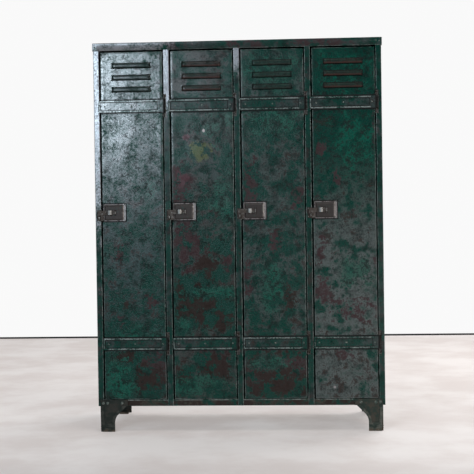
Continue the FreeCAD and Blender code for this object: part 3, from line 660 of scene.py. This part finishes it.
for number, wear in door_wear.items():
    centre = bays[number - 1]
    finish = enamel("green enamel on door %d" % number, 60.0 + 9.0 * number, edge=door_edge(centre),
                    centre=centre, painted_shade=door_shade(centre), **wear)
    leaf_piece = keep_piece("door_leaf_%d" % number, door_leaf(number, centre), finish, "door_%d" % number,
                            ["door_%d" % number])
    thickness = leaf_piece.modifiers.new("sheet", "SOLIDIFY")
    thickness.thickness = LEAF_SHEET
    thickness.offset = -1.0


# Hinge straps. A pressed band with a raised bead runs across each door top and bottom, rolled round the pin
# at one end and riveted through the leaf.

BEAD_INNER_EDGE = 0.0085
BEAD_STOPS_SHORT = 0.016


# Painted highlight with rubbed wear on the crest of the bead.
def strap_crest(paint):
    return paint.y.rise(FACE_Y - 0.0034, FACE_Y - 0.0050) * 0.8


def strap_shade(centre, height, left, right):
    """Painted shade in the hollow inside the raised bead, round its outside and behind the band."""
    def painted_shade(paint):
        inside = strap_gap(paint, centre, height, left, right - BEAD_STOPS_SHORT)
        hollow = abs(inside + (BEAD_INNER_EDGE + 0.0018)).rise(0.0024, 0.0012)
        around = strap_gap(paint, centre, height, left, right).rise(-0.0022, -0.0008)
        return hollow.most(around).most(paint.y.rise(FACE_Y - 0.0012, FACE_Y - 0.0004))
    return painted_shade


for number in range(1, 5):
    for level, (height, left, right) in STRAP_SPANS.items():
        near_window = number == 1 and level == "upper"
        give("%s_strap_%d" % (level, number),
             enamel("green enamel on %s strap %d" % (level, number), 110.0 + 7.0 * number + len(level), 0.45,
                    strap_crest, gloss=1.0 if near_window else 0.5, coat=1.8 if near_window else 1.55,
                    painted_shade=strap_shade(bays[number - 1], height, left, right)))


# Latch plates. A dull pressed plate with a sloping rim stands under each hasp, riveted at its corners, with a
# painted highlight along the rim; the hasp turns on an upright pin between two ears.

for number in range(1, 5):
    plate = Finish("latch plate steel %d" % number)
    centre = bays[number - 1]
    spread = plate.grain(0.012, 4.0, 4.0 * number)
    slope = (plate.x - (centre - 0.052)).rise(0.0, 0.012)
    bare = (slope * 0.8 + (spread - 0.5) * 1.6 + 0.1).rise(0.15, 0.8)
    colour = plate.tint((0.034, 0.028, 0.026), (0.150, 0.135, 0.130), bare)
    colour = plate.tint(colour, GREEN, spread.rise(0.58, 0.68) * 0.7)
    # Painted highlight: a pale line just inside the plate's edge, along its sloping rim.
    rim = abs(plate_gap(plate, centre) + 0.0022).rise(0.0020, 0.0006)
    colour = plate.tint(colour, (0.30, 0.26, 0.26), rim * spread.rise(0.38, 0.52) * 0.6)
    give("latch_plate_%d" % number, plate.lay(colour, 0.42 + 0.2 * spread - 0.1 * bare, 0.3 + 0.5 * bare, 0.1,
                                              spread, 0.0004))
    give("hasp_pin_%d" % number, hinge)


# Rivets and bolts. Low domed heads, hammered over and painted with the rest, then rubbed on the crown;
# hexagon bolts on washers hold the feet.

rivet_finish = Finish("painted rivet heads")
dab = rivet_finish.grain(0.004, 3.0)
crown_wear = dab.rise(0.45, 0.62)
head_paint = rivet_finish.lay(rivet_finish.tint((0.020, 0.045, 0.037), (0.20, 0.20, 0.18), crown_wear),
                              0.35 + 0.3 * dab, 0.4 * crown_wear, 0.3, dab, 0.0003)


class Pattern:
    """A Geometry Nodes tree that sets a small part at every marked place."""

    def __init__(self, name, sizes):
        self.tree = bpy.data.node_groups.new(name, "GeometryNodeTree")
        self.tree.interface.new_socket("Places", in_out="INPUT", socket_type="NodeSocketGeometry")
        for size in sizes:
            self.tree.interface.new_socket(size, in_out="INPUT", socket_type="NodeSocketFloat")
        self.tree.interface.new_socket("Finish", in_out="INPUT", socket_type="NodeSocketMaterial")
        self.tree.interface.new_socket("Parts", in_out="OUTPUT", socket_type="NodeSocketGeometry")
        self.given = self.tree.nodes.new("NodeGroupInput").outputs

    def node(self, kind, settings, sockets, output=0):
        made = self.tree.nodes.new(kind)
        for key, value in settings.items():
            setattr(made, key, value)
        for key, value in sockets.items():
            if isinstance(value, bpy.types.NodeSocket):
                self.tree.links.new(value, made.inputs[key])
            else:
                made.inputs[key].default_value = value
        return made.outputs[output] if made.outputs else None

    def work(self, operation, first, second=0.0):
        return self.node("ShaderNodeMath", {"operation": operation}, {0: first, 1: second})

    def set_out(self, part, scale, turn, smooth):
        """Puts the part at the places, makes the copies real and gives them their finish."""
        copies = self.node("GeometryNodeInstanceOnPoints", {},
                           {"Points": self.given["Places"], "Instance": part, "Rotation": turn, "Scale": scale})
        real = self.node("GeometryNodeRealizeInstances", {}, {"Geometry": copies})
        shaded = self.node("GeometryNodeSetShadeSmooth", {}, {"Geometry": real, "Shade Smooth": smooth})
        painted = self.node("GeometryNodeSetMaterial", {},
                            {"Geometry": shaded, "Material": self.given["Finish"]})
        self.node("NodeGroupOutput", {}, {"Parts": painted})
        return self.tree


def head_pattern():
    """Hammered heads: a ball pressed flat at the back, in two sizes, none quite like the next."""
    pattern = Pattern("hammered rivet heads", ["Large radius", "Large height", "Small radius", "Small height"])
    ball = pattern.node("GeometryNodeMeshUVSphere", {}, {"Segments": 16, "Rings": 8, "Radius": 1.0})
    where = pattern.node("GeometryNodeInputPosition", {}, {})
    parts = [pattern.node("ShaderNodeSeparateXYZ", {}, {0: where}, axis) for axis in "XYZ"]
    flat = pattern.node("ShaderNodeCombineXYZ", {}, {"X": parts[0], "Y": pattern.work("MINIMUM", parts[1], 0.0),
                                                     "Z": parts[2]})
    dome = pattern.node("GeometryNodeSetPosition", {}, {"Geometry": ball, "Position": flat})
    small = pattern.node("GeometryNodeInputNamedAttribute", {"data_type": "FLOAT"}, {"Name": "small head"})
    uneven = pattern.node("FunctionNodeRandomValue", {"data_type": "FLOAT"}, {2: 0.93, 3: 1.0, "Seed": 7}, 1)

    def pick(large, little):
        step = pattern.work("SUBTRACT", pattern.given[little], pattern.given[large])
        plain = pattern.work("ADD", pattern.given[large], pattern.work("MULTIPLY", step, small))
        return pattern.work("MULTIPLY", plain, uneven)

    radius = pick("Large radius", "Small radius")
    height = pick("Large height", "Small height")
    scale = pattern.node("ShaderNodeCombineXYZ", {}, {"X": radius, "Y": height, "Z": radius})
    return pattern.set_out(dome, scale, (0.0, 0.0, 0.0), True)


def bolt_pattern():
    """Hexagon heads with a chamfered crown on a washer, each turned as the spanner left it."""
    pattern = Pattern("hexagon bolt heads", ["Across corners", "Head height", "Washer thickness"])
    radius = pattern.work("DIVIDE", pattern.given["Across corners"], 2.0)
    washer_thickness = pattern.given["Washer thickness"]
    body_height = pattern.work("MULTIPLY", pattern.given["Head height"], 0.62)
    crown_height = pattern.work("SUBTRACT", pattern.work("SUBTRACT", pattern.given["Head height"], body_height),
                                washer_thickness)
    washer_top = pattern.work("MULTIPLY", radius, 1.10)
    washer_foot = pattern.work("MULTIPLY", radius, 1.18)
    washer = pattern.node("GeometryNodeMeshCone", {}, {"Vertices": 24, "Radius Top": washer_top,
                                                       "Radius Bottom": washer_foot, "Depth": washer_thickness})
    body = pattern.node("GeometryNodeMeshCone", {}, {"Vertices": 6, "Radius Top": radius,
                                                     "Radius Bottom": radius, "Depth": body_height})
    crown_radius = pattern.work("MULTIPLY", radius, 0.80)
    crown = pattern.node("GeometryNodeMeshCone", {}, {"Vertices": 6, "Radius Top": crown_radius,
                                                      "Radius Bottom": radius, "Depth": crown_height})

    def lift(part, height):
        offset = pattern.node("ShaderNodeCombineXYZ", {}, {"Z": height})
        return pattern.node("GeometryNodeTransform", {}, {"Geometry": part, "Translation": offset})

    body = lift(body, washer_thickness)
    crown = lift(crown, pattern.work("ADD", washer_thickness, body_height))
    join = pattern.tree.nodes.new("GeometryNodeJoinGeometry")
    for part in (washer, body, crown):
        pattern.tree.links.new(part, join.inputs[0])
    turned = pattern.node("GeometryNodeTransform", {}, {"Geometry": join.outputs[0],
                                                        "Rotation": (math.pi / 2, 0.0, 0.0)})
    angle = pattern.node("FunctionNodeRandomValue", {"data_type": "FLOAT"},
                         {2: 0.0, 3: math.pi / 3, "Seed": 3}, 1)
    turn = pattern.node("ShaderNodeCombineXYZ", {}, {"Y": angle})
    return pattern.set_out(turned, (1.0, 1.0, 1.0), turn, False)


def set_parts(name, tree, places, small, sizes, body, node):
    """Runs a pattern over its marked places and keeps the result as a plain mesh."""
    marks = bpy.data.meshes.new(name + " places")
    marks.from_pydata(places, [], [])
    marks.attributes.new("small head", "FLOAT", "POINT").data.foreach_set("value", small)
    holder = bpy.data.objects.new(name + " places", marks)
    bpy.context.scene.collection.objects.link(holder)
    modifier = holder.modifiers.new("pattern", "NODES")
    modifier.node_group = tree
    for item in tree.interface.items_tree:
        if item.in_out == "INPUT" and item.name in sizes:
            modifier[item.identifier] = sizes[item.name]
    made = bpy.data.meshes.new_from_object(holder.evaluated_get(bpy.context.evaluated_depsgraph_get()))
    bpy.data.objects.remove(holder)
    made.name = name
    keep_piece(name, made, head_paint, body, [node])


STRAP_FACE = FACE_Y - 0.0025
PLATE_FACE = FACE_Y - 0.0020
KEEPER_FACE = FACE_Y - 0.0015
TAB_FACE = FACE_Y - 0.0045
FOOT_FACE = FACE_Y - 0.0050
heads = head_pattern()
head_sizes = {"Large radius": 0.0042, "Large height": 0.0018, "Small radius": 0.0026, "Small height": 0.0012,
              "Finish": head_paint}
for number in range(1, 5):
    centre = bays[number - 1]
    places = [(centre + u, STRAP_FACE, z) for z, _, _ in STRAP_SPANS.values() for u in (-0.123, 0.001, 0.130)]
    places += [(centre + u, PLATE_FACE, z) for z in (0.9797, 1.0523) for u in (-0.1348, -0.0372)]
    set_parts("rivets_door_%d" % number, heads, places, [0.0] * 6 + [1.0] * 4, head_sizes, "door_%d" % number,
              "door_rivets_%d" % number)
places = [(side * 0.6545, TAB_FACE, LIP_MIDDLE) for side in (-1, 1)]
places += [(centre - 0.1652, KEEPER_FACE, z) for centre in bays for z in (0.986, 1.022)]
set_parts("rivets_carcass", heads, places, [0.0] * 2 + [1.0] * 8, head_sizes, "carcass",
          "body_rivets")
places = [(side * x, FOOT_FACE, 0.1325) for side in (-1, 1) for x in (0.639, 0.619, 0.551)]
set_parts("bolts_feet", bolt_pattern(), places, [0.0] * 6,
          {"Across corners": 0.0112, "Head height": 0.0044, "Washer thickness": 0.0008, "Finish": head_paint},
          "carcass", "foot_bolts")


# Studio. A pale concrete floor ends in a low dark strip of painted shadow, with a white wall well behind it;
# a tall window to the left and wide lamps to the right, above and behind make the soft light.

def flat_stage(name, corners, material):
    mesh = bpy.data.meshes.new(name)
    mesh.from_pydata(corners, [], [(0, 1, 2, 3)])
    mesh.materials.append(material)
    piece = bpy.data.objects.new(name, mesh)
    bpy.context.scene.collection.objects.link(piece)


floor_finish = Finish("pale studio floor")
floor_stain = floor_finish.grain(0.45, 5.0, 2.0, rough=0.6)
floor_colour = floor_finish.tint((0.40, 0.365, 0.352), (0.46, 0.435, 0.425), floor_stain.rise(0.35, 0.65))
floor_glow = floor_finish.tint((0.03, 0.03, 0.03), floor_colour, floor_finish.y.rise(-1.9, -0.7))
floor_shader = floor_finish.node("BsdfPrincipled", {},
                                 {"Base Color": floor_colour, "Roughness": 0.75,
                                  "Emission Color": floor_glow, "Emission Strength": 0.80})
floor_finish.node("OutputMaterial", {}, {"Surface": floor_shader})
FLOOR_SIDE = 9.0
FLOOR_NEAR = -9.0
FLOOR_FAR = 3.78
SHADOW_STRIP_Y = FLOOR_FAR - 0.01
SHADOW_STRIP_HEIGHT = 0.014
flat_stage("floor", [(-FLOOR_SIDE, FLOOR_NEAR, 0.0), (FLOOR_SIDE, FLOOR_NEAR, 0.0),
                     (FLOOR_SIDE, FLOOR_FAR, 0.0), (-FLOOR_SIDE, FLOOR_FAR, 0.0)], floor_finish.material)
# Painted shadow: a dark strip along the end of the floor.
shadow_strip = Finish("painted shadow strip at the end of the floor")
flat_stage("floor shadow strip", [(-FLOOR_SIDE, SHADOW_STRIP_Y, 0.0), (FLOOR_SIDE, SHADOW_STRIP_Y, 0.0),
                          (FLOOR_SIDE, SHADOW_STRIP_Y, SHADOW_STRIP_HEIGHT), (-FLOOR_SIDE, SHADOW_STRIP_Y, SHADOW_STRIP_HEIGHT)],
           shadow_strip.lay((0.03, 0.03, 0.03), 0.9))
wall_finish = Finish("white studio wall")
wall_shader = wall_finish.node("Emission", {}, {"Color": (1.0, 1.0, 1.0), "Strength": 0.95})
wall_finish.node("OutputMaterial", {}, {"Surface": wall_shader})
WALL_Y = 6.60
WALL_SIDE = 13.0
WALL_FOOT = -1.2
WALL_HEAD = 11.0
flat_stage("wall", [(-WALL_SIDE, WALL_Y, WALL_FOOT), (WALL_SIDE, WALL_Y, WALL_FOOT),
                    (WALL_SIDE, WALL_Y, WALL_HEAD), (-WALL_SIDE, WALL_Y, WALL_HEAD)], wall_finish.material)


def soft_light(name, place, aim, width, height, power, colour):
    lamp = bpy.data.lights.new(name, "AREA")
    lamp.shape = "RECTANGLE"
    lamp.size = width
    lamp.size_y = height
    lamp.energy = power
    lamp.color = colour
    holder = bpy.data.objects.new(name, lamp)
    holder.matrix_world = (Matrix.Translation(place)
                           @ (Vector(aim) - Vector(place)).to_track_quat("-Z", "Y").to_matrix().to_4x4())
    bpy.context.scene.collection.objects.link(holder)


soft_light("window light", (-1.90, -5.2, 2.35), (-0.6, -0.2, 1.4), 1.10, 1.4, 145.0, (0.75, 0.89, 1.0))
soft_light("fill light", (3.1, -4.2, 1.0), (0.4, -0.2, 0.5), 1.6, 1.6, 88.0, (1.0, 0.98, 0.96))
soft_light("ceiling light", (0.6, -1.2, 5.2), (0.3, -0.3, 0.6), 3.0, 1.6, 70.0, (1.0, 0.98, 0.96))
soft_light("rear light", (2.6, 2.4, 3.2), (0.6, 0.6, 0.0), 3.0, 2.4, 115.0, (1.0, 0.97, 0.95))
soft_light("low window light", (1.3, -4.6, 0.35), (0.55, -0.2, 0.4), 1.4, 0.5, 7.0, (1.0, 0.98, 0.96))
world = bpy.data.worlds.new("studio room")
world.use_nodes = True
world.node_tree.nodes["Background"].inputs["Color"].default_value = (0.95, 0.97, 1.0, 1.0)
world.node_tree.nodes["Background"].inputs["Strength"].default_value = 0.06
bpy.context.scene.world = world
bpy.context.scene.view_settings.view_transform = "Standard"


# Camera. It stands a little over half the locker's height and slightly right of the middle, with a long
# lens that keeps the uprights almost parallel.

camera_data = bpy.data.cameras.new("camera")
camera_data.lens = 79.8
camera_data.sensor_width = 36.0
camera = bpy.data.objects.new("camera", camera_data)
bpy.context.scene.collection.objects.link(camera)
CAMERA_PLACE = (0.250, -5.071, 0.960)
yaw, pitch, roll = (math.radians(angle) for angle in (3.05, -0.76, -0.81))
forward = Vector((-math.sin(yaw) * math.cos(pitch), math.cos(yaw) * math.cos(pitch), math.sin(pitch)))
level = Vector((math.cos(yaw), math.sin(yaw), 0.0))
upright = level.cross(forward)
right = level * math.cos(roll) + upright * math.sin(roll)
above = upright * math.cos(roll) - level * math.sin(roll)
camera.matrix_world = (Matrix.Translation(CAMERA_PLACE)
                       @ Matrix((right, above, -forward)).transposed().to_4x4())
bpy.context.scene.camera = camera
